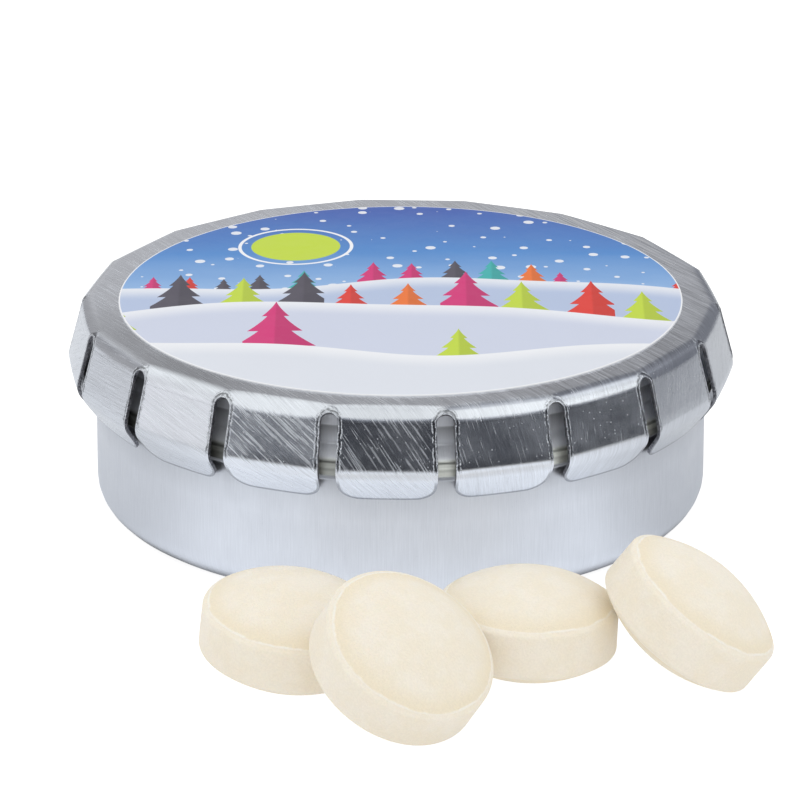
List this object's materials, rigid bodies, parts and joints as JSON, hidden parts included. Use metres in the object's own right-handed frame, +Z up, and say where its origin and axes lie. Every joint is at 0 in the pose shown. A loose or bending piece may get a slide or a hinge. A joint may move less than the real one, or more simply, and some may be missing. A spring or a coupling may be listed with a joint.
{
  "type": "mint tin",
  "caption": "Round press-to-open mint tin with a petalled lid that clicks free of its base, a round printed label, and ivory domed mints in and beside it.",
  "frame": {"origin": "centre of the base's flat underside", "axes": "+Z up through the label, -Y towards the mints that lie in front of the tin"},
  "size_m": [0.0486, 0.0713, 0.0152],
  "materials": {
    "base_steel": "satin tinplate, fine upright brushing",
    "lid_steel": "linear brushed sheet",
    "printed_label": "matte print in blues and white with small bright accents",
    "mint": "matte, fine grained pressed sugar"
  },
  "bodies": {
    "base": {"tin_base": "base_steel", "mints_inside": "mint"},
    "lid": {"lid_shoulder": "lid_steel"},
    "panel": {"lid_panel": "lid_steel", "label": "printed_label"},
    "petal_01": {"petal_01": "lid_steel"},
    "petal_02": {"petal_02": "lid_steel"},
    "petal_03": {"petal_03": "lid_steel"},
    "petal_04": {"petal_04": "lid_steel"},
    "petal_05": {"petal_05": "lid_steel"},
    "petal_06": {"petal_06": "lid_steel"},
    "petal_07": {"petal_07": "lid_steel"},
    "petal_08": {"petal_08": "lid_steel"},
    "petal_09": {"petal_09": "lid_steel"},
    "petal_10": {"petal_10": "lid_steel"},
    "petal_11": {"petal_11": "lid_steel"},
    "petal_12": {"petal_12": "lid_steel"},
    "petal_13": {"petal_13": "lid_steel"},
    "petal_14": {"petal_14": "lid_steel"},
    "petal_15": {"petal_15": "lid_steel"},
    "petal_16": {"petal_16": "lid_steel"},
    "petal_17": {"petal_17": "lid_steel"},
    "petal_18": {"petal_18": "lid_steel"},
    "mint_left": {"mint_left": "mint"},
    "mint_middle": {"mint_middle": "mint"},
    "mint_front": {"mint_front": "mint"},
    "mint_right": {"mint_right": "mint"}
  },
  "joints": [
    {"name": "lid_lift", "type": "slide", "parent": "base", "child": "lid", "axis": [0, 0, 1], "range_m": [0, 0.03]},
    {"name": "panel_click", "type": "slide", "parent": "lid", "child": "panel", "axis": [0, 0, -1], "range_m": [0, 0.0011]},
    {"name": "petal_01_flex", "type": "hinge", "parent": "lid", "child": "petal_01", "pos_m": [-0.0009, -0.02258, 0.01375], "axis": [-0.9992, 0.04, 0], "range_deg": [0, 7]},
    {"name": "petal_02_flex", "type": "hinge", "parent": "lid", "child": "petal_02", "pos_m": [0.00688, -0.02153, 0.01375], "axis": [-0.9526, -0.3042, 0], "range_deg": [0, 7]},
    {"name": "petal_03_flex", "type": "hinge", "parent": "lid", "child": "petal_03", "pos_m": [0.01382, -0.01788, 0.01375], "axis": [-0.7911, -0.6117, 0], "range_deg": [0, 7]},
    {"name": "petal_04_flex", "type": "hinge", "parent": "lid", "child": "petal_04", "pos_m": [0.01911, -0.01207, 0.01375], "axis": [-0.5342, -0.8454, 0], "range_deg": [0, 7]},
    {"name": "petal_05_flex", "type": "hinge", "parent": "lid", "child": "petal_05", "pos_m": [0.02208, -0.00481, 0.01375], "axis": [-0.2129, -0.9771, 0], "range_deg": [0, 7]},
    {"name": "petal_06_flex", "type": "hinge", "parent": "lid", "child": "petal_06", "pos_m": [0.0224, 0.00303, 0.01375], "axis": [0.1342, -0.991, 0], "range_deg": [0, 7]},
    {"name": "petal_07_flex", "type": "hinge", "parent": "lid", "child": "petal_07", "pos_m": [0.02001, 0.01051, 0.01375], "axis": [0.465, -0.8853, 0], "range_deg": [0, 7]},
    {"name": "petal_08_flex", "type": "hinge", "parent": "lid", "child": "petal_08", "pos_m": [0.01521, 0.01672, 0.01375], "axis": [0.7397, -0.6729, 0], "range_deg": [0, 7]},
    {"name": "petal_09_flex", "type": "hinge", "parent": "lid", "child": "petal_09", "pos_m": [0.00857, 0.02091, 0.01375], "axis": [0.9253, -0.3793, 0], "range_deg": [0, 7]},
    {"name": "petal_10_flex", "type": "hinge", "parent": "lid", "child": "petal_10", "pos_m": [0.0009, 0.02258, 0.01375], "axis": [0.9992, -0.04, 0], "range_deg": [0, 7]},
    {"name": "petal_11_flex", "type": "hinge", "parent": "lid", "child": "petal_11", "pos_m": [-0.00688, 0.02153, 0.01375], "axis": [0.9526, 0.3042, 0], "range_deg": [0, 7]},
    {"name": "petal_12_flex", "type": "hinge", "parent": "lid", "child": "petal_12", "pos_m": [-0.01382, 0.01788, 0.01375], "axis": [0.7911, 0.6117, 0], "range_deg": [0, 7]},
    {"name": "petal_13_flex", "type": "hinge", "parent": "lid", "child": "petal_13", "pos_m": [-0.01911, 0.01207, 0.01375], "axis": [0.5342, 0.8454, 0], "range_deg": [0, 7]},
    {"name": "petal_14_flex", "type": "hinge", "parent": "lid", "child": "petal_14", "pos_m": [-0.02208, 0.00481, 0.01375], "axis": [0.2129, 0.9771, 0], "range_deg": [0, 7]},
    {"name": "petal_15_flex", "type": "hinge", "parent": "lid", "child": "petal_15", "pos_m": [-0.0224, -0.00303, 0.01375], "axis": [-0.1342, 0.991, 0], "range_deg": [0, 7]},
    {"name": "petal_16_flex", "type": "hinge", "parent": "lid", "child": "petal_16", "pos_m": [-0.02001, -0.01051, 0.01375], "axis": [-0.465, 0.8853, 0], "range_deg": [0, 7]},
    {"name": "petal_17_flex", "type": "hinge", "parent": "lid", "child": "petal_17", "pos_m": [-0.01521, -0.01672, 0.01375], "axis": [-0.7397, 0.6729, 0], "range_deg": [0, 7]},
    {"name": "petal_18_flex", "type": "hinge", "parent": "lid", "child": "petal_18", "pos_m": [-0.00857, -0.02091, 0.01375], "axis": [-0.9253, 0.3793, 0], "range_deg": [0, 7]},
    {"name": "mint_left_lift", "type": "slide", "parent": "base", "child": "mint_left", "axis": [0, 0, 1], "range_m": [0, 0.03]},
    {"name": "mint_middle_lift", "type": "slide", "parent": "base", "child": "mint_middle", "axis": [0, 0, 1], "range_m": [0, 0.03]},
    {"name": "mint_front_lift", "type": "slide", "parent": "mint_left", "child": "mint_front", "axis": [0, 0, 1], "range_m": [0, 0.03]},
    {"name": "mint_right_lift", "type": "slide", "parent": "mint_middle", "child": "mint_right", "axis": [0, 0, 1], "range_m": [0, 0.03]}
  ],
  "couplings": [
    {"joint": "petal_01_flex", "follows": "panel_click", "rad_per_m": 111.06},
    {"joint": "petal_02_flex", "follows": "panel_click", "rad_per_m": 111.06},
    {"joint": "petal_03_flex", "follows": "panel_click", "rad_per_m": 111.06},
    {"joint": "petal_04_flex", "follows": "panel_click", "rad_per_m": 111.06},
    {"joint": "petal_05_flex", "follows": "panel_click", "rad_per_m": 111.06},
    {"joint": "petal_06_flex", "follows": "panel_click", "rad_per_m": 111.06},
    {"joint": "petal_07_flex", "follows": "panel_click", "rad_per_m": 111.06},
    {"joint": "petal_08_flex", "follows": "panel_click", "rad_per_m": 111.06},
    {"joint": "petal_09_flex", "follows": "panel_click", "rad_per_m": 111.06},
    {"joint": "petal_10_flex", "follows": "panel_click", "rad_per_m": 111.06},
    {"joint": "petal_11_flex", "follows": "panel_click", "rad_per_m": 111.06},
    {"joint": "petal_12_flex", "follows": "panel_click", "rad_per_m": 111.06},
    {"joint": "petal_13_flex", "follows": "panel_click", "rad_per_m": 111.06},
    {"joint": "petal_14_flex", "follows": "panel_click", "rad_per_m": 111.06},
    {"joint": "petal_15_flex", "follows": "panel_click", "rad_per_m": 111.06},
    {"joint": "petal_16_flex", "follows": "panel_click", "rad_per_m": 111.06},
    {"joint": "petal_17_flex", "follows": "panel_click", "rad_per_m": 111.06},
    {"joint": "petal_18_flex", "follows": "panel_click", "rad_per_m": 111.06}
  ]
}
